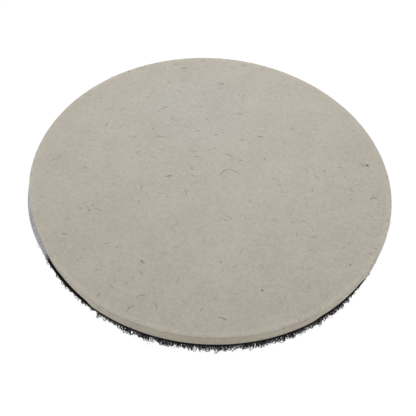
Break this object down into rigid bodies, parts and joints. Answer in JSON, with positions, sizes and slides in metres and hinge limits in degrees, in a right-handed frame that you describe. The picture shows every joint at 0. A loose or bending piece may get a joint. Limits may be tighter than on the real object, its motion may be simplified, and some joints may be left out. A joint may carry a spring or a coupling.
{
  "type": "felt polishing disc",
  "caption": "Flat round felt polishing disc bonded to a knitted loop-pile cloth, for a quick-change hook-faced backing pad.",
  "frame": {"origin": "centre of the loop face, on the surface the disc lies on", "axes": "+Z along the disc's axis, from the loop face towards the polishing face; X and Y lie in the loop face"},
  "size_m": [0.1, 0.1, 0.006],
  "materials": {
    "pressed_felt": "matt off-white pressed wool felt",
    "adhesive": "dull dark adhesive film",
    "knitted_cloth": "black knitted nylon",
    "nylon_loops": "black nylon loops with a slight sheen"
  },
  "bodies": {
    "root": {"felt_disc": "pressed_felt", "adhesive_film": "adhesive", "loop_backing_cloth": "knitted_cloth", "loop_pile": "nylon_loops"}
  },
  "joints": []
}
